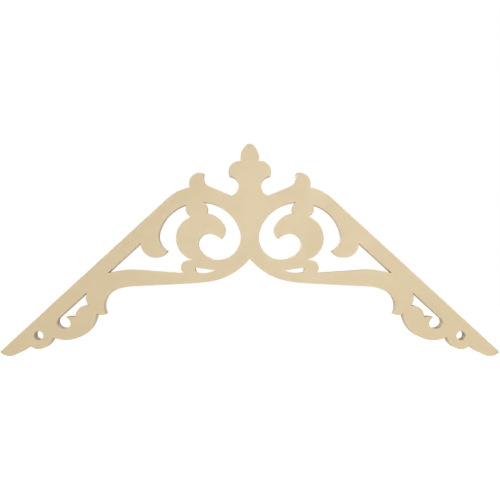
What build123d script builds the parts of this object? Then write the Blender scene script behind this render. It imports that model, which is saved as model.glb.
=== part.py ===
from build123d import *
from math import hypot
import os

# Gable pediment: one flat board, sawn through with scrollwork, that fills the peak of a gable.
# X runs across the gable, Z is up, the wall face lies at Y = 0 and the front faces -Y.
# The origin is on the centre line of the wall face, level with the centres of the volutes.
# Lengths are in millimetres. The outline is drawn for the +X half and mirrored.

# Whole board
span = 1524.0
thickness = 25.4
roof_rise = 11.0
roof_run = 12.0
rail_width = 45.0

# Finial on the centre line: distances out from it and down from the finial's tip
finial_drop = 63.5
bud_nose_end = (10.5, 4.0)
bud_foot = (28.0, 53.0)
lobe_tip = (62.5, 99.0)
lobe_bow = 16.5
cove_foot = (56.0, 158.5)
cove_bow = 25.0

# Volute: its centre lies out from the centre line and down from the meeting point of the rakes
volute_out = 120.5
volute_drop = 372.5

# Sprig and shoulder above the volute: out and up from the volute's centre
sprig_throat = (1.5, 178.0)
sprig_tip = (19.0, 218.0)
sprig_foot = (63.5, 176.0)
sprig_bow = 19.8
shoulder_end = 340.0

# Toe: back from the tip and down to its lowest point; up the rake and in from it to the notch
toe_belly_drop = 13.5
toe_belly_back = 29.5
toe_belly_turn = (23.0, 36.5)
toe_notch = (79.5, 48.0)

# Lower lobes and leaf: up the rake from the toe's tip and square in from the rake
small_lobe_side = (115.0, 84.5)
small_lobe_bow = 9.0
lobe_notch = (148.0, 75.5)
large_lobe_side = (201.5, 128.5)
large_lobe_bow = 7.0
leaf_root = (297.0, 112.5)
leaf_point = (315.5, 133.5)
leaf_bow = 4.0
leaf_cove_side = (331.0, 108.0)
leaf_cove_crest = (360.0, 94.5)
leaf_cove_start = (389.5, 99.5)

# Underside of the arm and the great arc: out and up from the volute's centre
arm_under_end = (220.0, -125.5)
arm_under_start = (69.0, -118.0)
great_arc_knee = (1.5, -111.5)
centre_cusp_height = -42.0

# Volute opening: out and up from the volute's centre
crown_corner = (20.5, 130.0)
crown_bow = 21.5
opening_waist = (-89.5, 43.5)
opening_heel = (31.5, -16.0)
eye_top = (2.0, 34.5)
hook_tip = (-33.0, 18.5)
hook_bow = 3.0
hook_side = (-46.0, 41.0)
hook_back = (-42.5, 60.0)
bud_corner = (12.5, 97.0)
bud_bow = 7.5

# Rake opening: out and up from the volute's centre, or along the inner edge of the rail
crescent_tip = (72.0, 123.0)
crescent_bow = 15.5
crescent_side = (156.5, 40.0)
leaflet_tip = (130.5, -18.5)
leaflet_belly = (169.5, -39.0)
knee_from_peak = 493.0
far_corner_from_toe = 404.0
arm_crest = (224.5, -76.0)
arm_end_bow = 4.0
arm_root = (81.5, -86.0)
small_bud_side = (89.5, -65.5)
small_bud_top = (72.0, -47.5)
scroll_notch_low = (55.0, -45.5)
scroll_side = (105.0, 21.0)
scroll_notch_high = (59.5, 85.5)
high_bud_bow = 8.5

# Slit under the volute: out and up from the volute's centre
slit_inner_tip = (-15.5, -77.5)
slit_upper_corner = (45.5, -69.0)
slit_lower_corner = (43.0, -83.5)
slit_lower_bow = 5.5
slit_end_bow = 2.0

# Lower scroll opening: up the rake from the toe's tip and square in from the rake
scroll_top = 320.0
scroll_straight_end = 200.5
curl_outside = (184.0, 58.5)
curl_side = (216.5, 83.0)
curl_tip = (219.5, 57.5)
curl_tip_bow = 3.0
hook_top_bow = 1.7
lobe_corner = (240.5, 78.0)
lobe_back = (265.0, 65.0)
leaf_corner = (295.0, 81.5)
leaf_side_bow = 7.5

# Round eye in the toe
toe_eye = (120.0, 43.0)
toe_eye_radius = 14.0

rake_length = hypot(roof_run, roof_rise)
rake_cos = roof_run / rake_length
rake_sin = roof_rise / rake_length
peak_height = volute_drop
toe_height = peak_height - span / 2 * roof_rise / roof_run
finial_height = peak_height - finial_drop


def from_finial(place):
    return Vector(place[0], finial_height - place[1])


def from_volute(place):
    return Vector(volute_out + place[0], place[1])


def from_toe(place):
    along, inward = place
    x = span / 2 - along * rake_cos - inward * rake_sin
    z = toe_height + along * rake_sin - inward * rake_cos
    return Vector(x, z)


def from_peak(along, inward=0.0):
    x = along * rake_cos - inward * rake_sin
    z = peak_height - along * rake_sin - inward * rake_cos
    return Vector(x, z)


def smooth(edge, end):
    # An arc that carries on from an edge without a kink
    return TangentArc(edge @ 1, end, tangent=edge % 1)


rake_down = Vector(rake_cos, -rake_sin)


def finial_edges():
    nose = TangentArc((0, finial_height), from_finial(bud_nose_end), tangent=(1, 0))
    side = smooth(nose, from_finial(bud_foot))
    lobe = SagittaArc(side @ 1, from_finial(lobe_tip), lobe_bow)
    cove = SagittaArc(lobe @ 1, from_finial(cove_foot), -cove_bow)
    return [nose, side, lobe, cove]


def shoulder_edges(start):
    stem = Line(start, from_volute(sprig_throat))
    throat = smooth(stem, from_volute(sprig_tip))
    head = SagittaArc(throat @ 1, from_volute(sprig_foot), sprig_bow)
    shoulder = TangentArc(from_peak(shoulder_end), head @ 1, tangent=-rake_down)
    return [stem, throat, head, shoulder]


def toe_edges():
    tip = Vector(span / 2, toe_height)
    low_point = Vector(span / 2 - toe_belly_back, toe_height - toe_belly_drop)
    rake = Line(from_peak(shoulder_end), tip)
    belly_front = TangentArc(low_point, tip, tangent=(1, 0))
    belly = TangentArc(low_point, from_toe(toe_belly_turn), tangent=(-1, 0))
    belly_back = smooth(belly, from_toe(toe_notch))
    return [rake, belly_front, belly, belly_back]


def lobe_edges():
    small_front = SagittaArc(from_toe(toe_notch), from_toe(small_lobe_side), small_lobe_bow)
    small_back = smooth(small_front, from_toe(lobe_notch))
    large_front = SagittaArc(small_back @ 1, from_toe(large_lobe_side), large_lobe_bow)
    large_back = smooth(large_front, from_toe(leaf_root))
    leaf = SagittaArc(large_back @ 1, from_toe(leaf_point), leaf_bow)
    return [small_front, small_back, large_front, large_back, leaf]


def underside_edges():
    arm = Line(from_volute(arm_under_end), from_volute(arm_under_start))
    cove = Spline(
        from_toe(leaf_point),
        from_toe(leaf_cove_side),
        from_toe(leaf_cove_crest),
        from_toe(leaf_cove_start),
        arm @ 0,
    )
    cusp = Vector(0, centre_cusp_height)
    great_arc_start = smooth(arm, from_volute(great_arc_knee))
    great_arc = smooth(great_arc_start, cusp)
    centre_line = Line(cusp, (0, finial_height))
    return [cove, arm, great_arc_start, great_arc, centre_line]


def half_board():
    edges = finial_edges()
    edges += shoulder_edges(edges[-1] @ 1)
    edges += toe_edges() + lobe_edges() + underside_edges()
    return make_face(edges)


def volute_opening():
    crown = SagittaArc(from_volute(crown_corner), from_volute(opening_waist), -crown_bow)
    belly = smooth(crown, from_volute(opening_heel))
    eye = smooth(belly, from_volute(eye_top))
    under = SagittaArc(eye @ 1, from_volute(hook_tip), -hook_bow)
    tip = ThreePointArc(under @ 1, from_volute(hook_side), from_volute(hook_back))
    back = smooth(tip, from_volute(bud_corner))
    bud = SagittaArc(back @ 1, crown @ 0, bud_bow)
    return make_face([crown, belly, eye, under, tip, back, bud])


def rake_opening():
    crescent = SagittaArc(from_volute(crescent_tip), from_volute(crescent_side), crescent_bow)
    crescent_end = smooth(crescent, from_volute(leaflet_tip))
    knee = from_peak(knee_from_peak, rail_width)
    leaflet = ThreePointArc(crescent_end @ 1, from_volute(leaflet_belly), knee)
    rail = Line(knee, from_toe((far_corner_from_toe, rail_width)))
    arm = Line(from_volute(arm_root), from_volute(arm_crest))
    arm_end = SagittaArc(arm @ 1, rail @ 1, arm_end_bow)
    small_bud = ThreePointArc(arm @ 0, from_volute(small_bud_side), from_volute(small_bud_top))
    small_bud_end = smooth(small_bud, from_volute(scroll_notch_low))
    notches = from_volute(scroll_notch_low), from_volute(scroll_notch_high)
    scroll = ThreePointArc(notches[0], from_volute(scroll_side), notches[1])
    high_bud = SagittaArc(scroll @ 1, crescent @ 0, -high_bud_bow)
    edges = [crescent, crescent_end, leaflet, rail, arm_end, arm]
    return make_face(edges + [small_bud, small_bud_end, scroll, high_bud])


def slit():
    inner_tip = from_volute(slit_inner_tip)
    upper = Line(inner_tip, from_volute(slit_upper_corner))
    end = SagittaArc(upper @ 1, from_volute(slit_lower_corner), slit_end_bow)
    lower = SagittaArc(end @ 1, inner_tip, slit_lower_bow)
    return make_face([upper, end, lower])


def scroll_opening():
    rail = Line(from_toe((scroll_top, rail_width)), from_toe((scroll_straight_end, rail_width)))
    curl = smooth(rail, from_toe(curl_outside))
    curl_rise = smooth(curl, from_toe(curl_side))
    curl_end = SagittaArc(curl_rise @ 1, from_toe(curl_tip), curl_tip_bow)
    hook = SagittaArc(curl_end @ 1, from_toe(lobe_corner), -hook_top_bow)
    lobe = ThreePointArc(hook @ 1, from_toe(lobe_back), from_toe(leaf_corner))
    leaf = SagittaArc(lobe @ 1, rail @ 0, -leaf_side_bow)
    return make_face([rail, curl, curl_rise, curl_end, hook, lobe, leaf])


def toe_eye_hole():
    return Pos(from_toe(toe_eye)) * Circle(toe_eye_radius)


def pediment_panel():
    half = half_board() - volute_opening() - rake_opening() - slit()
    half = half - scroll_opening() - toe_eye_hole()
    board = half + mirror(half, about=Plane.YZ)
    return extrude(Plane.XZ * board, amount=thickness)


os.makedirs("parts", exist_ok=True)
export_step(pediment_panel(), "parts/pediment_panel.step")
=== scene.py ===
import math

import bmesh
import bpy
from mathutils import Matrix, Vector


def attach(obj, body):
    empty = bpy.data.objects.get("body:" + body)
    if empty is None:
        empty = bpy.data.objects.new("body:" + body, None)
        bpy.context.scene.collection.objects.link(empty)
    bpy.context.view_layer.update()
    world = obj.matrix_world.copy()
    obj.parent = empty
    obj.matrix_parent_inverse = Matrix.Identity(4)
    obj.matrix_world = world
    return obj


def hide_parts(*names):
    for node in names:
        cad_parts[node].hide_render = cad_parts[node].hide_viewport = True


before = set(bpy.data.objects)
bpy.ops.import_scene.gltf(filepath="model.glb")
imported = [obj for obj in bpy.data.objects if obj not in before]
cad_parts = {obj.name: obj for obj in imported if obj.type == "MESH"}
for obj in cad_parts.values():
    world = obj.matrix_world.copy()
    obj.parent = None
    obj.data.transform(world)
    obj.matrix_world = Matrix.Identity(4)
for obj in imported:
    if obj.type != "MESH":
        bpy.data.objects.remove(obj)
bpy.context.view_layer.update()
print("frame loaded")


# Node helpers

def startMaterial(name):
    material = bpy.data.materials.new(name)
    material.use_nodes = True
    tree = material.node_tree
    shader = tree.nodes["Principled BSDF"]
    return material, tree, shader


def addNode(tree, kind, **values):
    node = tree.nodes.new(kind)
    for key, value in values.items():
        setattr(node, key, value)
    return node


def addNoise(tree, coords, scale, detail, roughness=0.5):
    noise = addNode(tree, "ShaderNodeTexNoise")
    noise.inputs["Scale"].default_value = scale
    noise.inputs["Detail"].default_value = detail
    noise.inputs["Roughness"].default_value = roughness
    tree.links.new(coords, noise.inputs["Vector"])
    return noise.outputs["Fac"]


def addScaled(tree, coords, scale):
    mapping = addNode(tree, "ShaderNodeMapping")
    mapping.inputs["Scale"].default_value = scale
    tree.links.new(coords, mapping.inputs["Vector"])
    return mapping.outputs["Vector"]


def addRange(tree, value, source, target=(0.0, 1.0)):
    node = addNode(tree, "ShaderNodeMapRange")
    for key, limit in zip(("From Min", "From Max", "To Min", "To Max"), (*source, *target)):
        node.inputs[key].default_value = limit
    tree.links.new(value, node.inputs["Value"])
    return node.outputs["Result"]


def addMath(tree, operation, first, second):
    node = addNode(tree, "ShaderNodeMath", operation=operation)
    for socket, value in zip(node.inputs, (first, second)):
        if isinstance(value, (int, float)):
            socket.default_value = value
        else:
            tree.links.new(value, socket)
    return node.outputs[0]


def addMix(tree, factor, first, second):
    node = addNode(tree, "ShaderNodeMix", data_type="RGBA")
    tree.links.new(factor, node.inputs["Factor"])
    for key, value in (("A", first), ("B", second)):
        socket = [s for s in node.inputs if s.name == key and s.type == "RGBA"][0]
        if isinstance(value, tuple):
            socket.default_value = value
        else:
            tree.links.new(value, socket)
    return [s for s in node.outputs if s.type == "RGBA"][0]


def addBump(tree, shader, height, strength, distance):
    bump = addNode(tree, "ShaderNodeBump")
    bump.inputs["Strength"].default_value = strength
    bump.inputs["Distance"].default_value = distance
    tree.links.new(height, bump.inputs["Height"])
    tree.links.new(bump.outputs["Normal"], shader.inputs["Normal"])


# Primer: the sprayed coat that every face of the board carries

primerLook = {
    "cloudScale": 7.0,
    "cloudDetail": 2.0,
    "cloudShare": 0.6,
    "patchScale": 34.0,
    "patchDetail": 3.0,
    "patchShare": 0.4,
    "tintRange": (0.38, 0.62),
    "speckScale": 420.0,
    "speckDetail": 2.0,
    "speckRoughness": 0.7,
    "speckRange": (0.35, 0.75),
    "pebbleScale": 330.0,
    "pebbleDetail": 3.0,
    "pebbleRoughness": 0.55,
}


def buildPrimerGroup():
    # Masks for a cloudy tint and fine specks, and the pebbled height of the coat
    group = bpy.data.node_groups.new("primerCoat", "ShaderNodeTree")
    group.interface.new_socket("Coords", in_out="INPUT", socket_type="NodeSocketVector")
    for name in ("Cloud", "Speck", "Pebble"):
        group.interface.new_socket(name, in_out="OUTPUT", socket_type="NodeSocketFloat")
    coords = addNode(group, "NodeGroupInput").outputs["Coords"]
    end = addNode(group, "NodeGroupOutput")
    look = primerLook
    cloud = addNoise(group, coords, look["cloudScale"], look["cloudDetail"])
    patch = addNoise(group, coords, look["patchScale"], look["patchDetail"])
    cloud = addMath(group, "MULTIPLY", cloud, look["cloudShare"])
    patch = addMath(group, "MULTIPLY", patch, look["patchShare"])
    both = addMath(group, "ADD", cloud, patch)
    speck = addNoise(
        group, coords, look["speckScale"], look["speckDetail"], look["speckRoughness"],
    )
    pebble = addNoise(
        group, coords, look["pebbleScale"], look["pebbleDetail"], look["pebbleRoughness"],
    )
    group.links.new(addRange(group, both, look["tintRange"]), end.inputs["Cloud"])
    group.links.new(addRange(group, speck, look["speckRange"]), end.inputs["Speck"])
    group.links.new(pebble, end.inputs["Pebble"])
    return group


primerGroup = buildPrimerGroup()


def addPrimer(tree):
    coords = addNode(tree, "ShaderNodeTexCoord").outputs["Object"]
    primer = addNode(tree, "ShaderNodeGroup", node_tree=primerGroup)
    tree.links.new(coords, primer.inputs["Coords"])
    return coords, primer.outputs


# Board: one sawn sheet, tan, with eased arrises

boardLook = {
    "faceColour": (0.634, 0.515, 0.320, 1.0),
    "cloudColour": (0.618, 0.497, 0.304, 1.0),
    "speckColour": (0.570, 0.430, 0.250, 1.0),
    "speckShare": 0.16,
    "sawnColour": (0.575, 0.455, 0.277, 1.0),
    "streakColour": (0.500, 0.380, 0.220, 1.0),
    "streakRange": (0.45, 0.75),
    "streakShare": 0.35,
    "roughness": 0.46,
    "roughnessSpread": 0.09,
    "sawnRoughness": (0.52, 0.66),
    "specular": 0.5,
    "arris": 0.0008,
    "arrisSteps": 2,
    "sharpAngle": 38.0,
    "pebbleHeight": 0.00012,
    "pebbleStrength": 0.6,
    "toolMarkHeight": 0.00016,
    "toolMarkStrength": 0.7,
    "lineScale": (2.0, 700.0, 2.0),
    "lineDetail": 2.0,
    "lineRange": (0.3, 0.7),
    "chatterScale": (260.0, 9.0, 260.0),
    "chatterDetail": 1.0,
    "chatterShare": 0.8,
    "sawnPebbleShare": 0.5,
}

mergeDistance = 0.00001
levelAngle = 0.0005  # radians between triangles that lie in one plane
faceTilt = 0.9  # the front and the back have a normal with at least this much Y
wallTilt = 0.1  # the sawn walls have less than this


def easedBoard(node, name):
    # The CAD board with merged corners, its front and back arrises eased
    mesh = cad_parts[node].data.copy()
    mesh.name = name
    mesh.materials.clear()
    board = bpy.data.objects.new(name, mesh)
    bpy.context.scene.collection.objects.link(board)
    bm = bmesh.new()
    bm.from_mesh(mesh)
    bmesh.ops.remove_doubles(bm, verts=bm.verts, dist=mergeDistance)
    bmesh.ops.dissolve_limit(
        bm, angle_limit=levelAngle, verts=bm.verts, edges=bm.edges, delimit=set(),
    )
    bm.normal_update()

    def isFlat(face):
        return abs(face.normal.y) > faceTilt

    rims = [e for e in bm.edges if len({isFlat(f) for f in e.link_faces}) == 2]
    made = bmesh.ops.bevel(
        bm, geom=rims, offset=boardLook["arris"], offset_type="OFFSET", affect="EDGES",
        segments=boardLook["arrisSteps"], profile=0.5, material=-1, clamp_overlap=True,
    )
    bm.normal_update()
    eased = set(made["faces"])
    limit = math.radians(boardLook["sharpAngle"])
    for face in bm.faces:
        face.smooth = True
        face.material_index = 1 if abs(face.normal.y) < wallTilt else 0
    for edge in bm.edges:
        first, second = edge.link_faces
        edge.smooth = (first in eased) == (second in eased) and edge.calc_face_angle() < limit
    bm.to_mesh(mesh)
    bm.free()
    return board


def primedFaceMaterial():
    material, tree, shader = startMaterial("primedFace")
    look = boardLook
    primer = addPrimer(tree)[1]
    tint = addMix(tree, primer["Cloud"], look["faceColour"], look["cloudColour"])
    faint = addMath(tree, "MULTIPLY", primer["Speck"], look["speckShare"])
    tree.links.new(addMix(tree, faint, tint, look["speckColour"]), shader.inputs["Base Color"])
    low = look["roughness"] - look["roughnessSpread"] / 2
    high = low + look["roughnessSpread"]
    rough = addRange(tree, primer["Cloud"], (0.0, 1.0), (low, high))
    tree.links.new(rough, shader.inputs["Roughness"])
    shader.inputs["Specular IOR Level"].default_value = look["specular"]
    addBump(tree, shader, primer["Pebble"], look["pebbleStrength"], look["pebbleHeight"])
    return material


def sawnEdgeMaterial():
    # Router lines run with the sheet, and chatter runs across its thickness
    material, tree, shader = startMaterial("sawnEdge")
    look = boardLook
    coords, primer = addPrimer(tree)
    lines = addNoise(tree, addScaled(tree, coords, look["lineScale"]), 1.0, look["lineDetail"])
    across = addScaled(tree, coords, look["chatterScale"])
    chatter = addNoise(tree, across, 1.0, look["chatterDetail"])
    tint = addMix(tree, primer["Cloud"], look["sawnColour"], look["cloudColour"])
    streak = addRange(tree, lines, look["streakRange"])
    streak = addMath(tree, "MULTIPLY", streak, look["streakShare"])
    tree.links.new(addMix(tree, streak, tint, look["streakColour"]), shader.inputs["Base Color"])
    rough = addRange(tree, lines, look["lineRange"], look["sawnRoughness"])
    tree.links.new(rough, shader.inputs["Roughness"])
    shader.inputs["Specular IOR Level"].default_value = look["specular"]
    chatter = addMath(tree, "MULTIPLY", chatter, look["chatterShare"])
    pebble = addMath(tree, "MULTIPLY", primer["Pebble"], look["sawnPebbleShare"])
    height = addMath(tree, "ADD", addMath(tree, "ADD", lines, chatter), pebble)
    addBump(tree, shader, height, look["toolMarkStrength"], look["toolMarkHeight"])
    return material


board = easedBoard("pediment_panel", "board")
board.data.materials.append(primedFaceMaterial())
board.data.materials.append(sawnEdgeMaterial())
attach(board, "root")
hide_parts("pediment_panel")
print("board", len(board.data.polygons), "faces")


# Floor, light and camera

stageLook = {
    "floorHeight": -1.35,
    "floorSize": 9.0,
    "floorColour": (0.80, 0.80, 0.79, 1.0),
    "floorRoughness": 0.8,
    "floorGlow": 0.75,
    "seenColour": (1.0, 1.0, 1.0, 1.0),
    "skySides": {"X": (0.30, 0.20), "Y": (0.0, 0.5), "Z": (0.2, 0.3)},
    "skySeam": 0.001,
    "softboxes": {
        "frontBox": {"place": (0.5, -5.0, 0.4), "size": 3.2, "power": 130.0},
        "leftBox": {"place": (-8.6, -2.9, 1.25), "size": 4.0, "power": 280.0},
        "rightBox": {"place": (4.3, -1.15, 0.63), "size": 2.0, "power": 78.0},
        "backBox": {"place": (-0.8, 5.0, 1.0), "size": 2.0, "power": 85.0},
    },
    "cameraPlace": (0.0006, -1.3956, -0.0153),
    "cameraPitch": 90.0,
    "lens": 32.35,
    "sensor": 36.0,
}


def isSeen(tree):
    # 1 where the camera, a reflection or a view through glass meets the white surroundings
    path = addNode(tree, "ShaderNodeLightPath")
    seen = addMath(tree, "MAXIMUM", path.outputs["Is Camera Ray"], path.outputs["Is Glossy Ray"])
    return addMath(tree, "MAXIMUM", seen, path.outputs["Is Transmission Ray"])


def buildFloor():
    mesh = bpy.data.meshes.new("floor")
    bm = bmesh.new()
    bmesh.ops.create_grid(bm, x_segments=1, y_segments=1, size=stageLook["floorSize"])
    bmesh.ops.translate(bm, verts=bm.verts, vec=Vector((0, 0, stageLook["floorHeight"])))
    bm.to_mesh(mesh)
    bm.free()
    floor = bpy.data.objects.new("floor", mesh)
    bpy.context.scene.collection.objects.link(floor)
    material, tree, shader = startMaterial("paleFloor")
    shader.inputs["Base Color"].default_value = stageLook["floorColour"]
    shader.inputs["Roughness"].default_value = stageLook["floorRoughness"]
    shader.inputs["Emission Color"].default_value = stageLook["seenColour"]
    glow = addMath(tree, "MULTIPLY", isSeen(tree), stageLook["floorGlow"])
    tree.links.new(glow, shader.inputs["Emission Strength"])
    mesh.materials.append(material)


def lightWorld():
    # Soft light whose level is set for each of six sides, and plain white wherever it is seen
    world = bpy.data.worlds.new("studio")
    world.use_nodes = True
    bpy.context.scene.world = world
    tree = world.node_tree
    background = tree.nodes["Background"]
    direction = addNode(tree, "ShaderNodeTexCoord").outputs["Generated"]
    split = addNode(tree, "ShaderNodeSeparateXYZ")
    tree.links.new(direction, split.inputs[0])
    seam = (-stageLook["skySeam"], stageLook["skySeam"])
    level = 0.0
    for axis, sides in stageLook["skySides"].items():
        share = split.outputs[axis]
        side = addRange(tree, share, seam, sides)
        square = addMath(tree, "MULTIPLY", share, share)
        level = addMath(tree, "ADD", level, addMath(tree, "MULTIPLY", side, square))
    seen = isSeen(tree)
    lit = addMath(tree, "MULTIPLY", level, addMath(tree, "SUBTRACT", 1.0, seen))
    tree.links.new(addMath(tree, "ADD", lit, seen), background.inputs["Strength"])
    background.inputs["Color"].default_value = stageLook["seenColour"]


def addSoftbox(name, look):
    lamp = bpy.data.lights.new(name, "AREA")
    lamp.shape = "DISK"
    lamp.size = look["size"]
    lamp.energy = look["power"]
    holder = bpy.data.objects.new(name, lamp)
    holder.visible_camera = False  # a lamp behind the board would eat into its edges
    holder.location = look["place"]
    holder.rotation_euler = (-Vector(look["place"])).to_track_quat("-Z", "Y").to_euler()
    bpy.context.scene.collection.objects.link(holder)


def addCamera():
    data = bpy.data.cameras.new("camera")
    data.lens = stageLook["lens"]
    data.sensor_width = stageLook["sensor"]
    camera = bpy.data.objects.new("camera", data)
    camera.location = stageLook["cameraPlace"]
    camera.rotation_euler = (math.radians(stageLook["cameraPitch"]), 0, 0)
    bpy.context.scene.collection.objects.link(camera)
    bpy.context.scene.camera = camera


buildFloor()
lightWorld()
for name, look in stageLook["softboxes"].items():
    addSoftbox(name, look)
addCamera()
bpy.context.scene.view_settings.view_transform = "Standard"
print("stage ready")
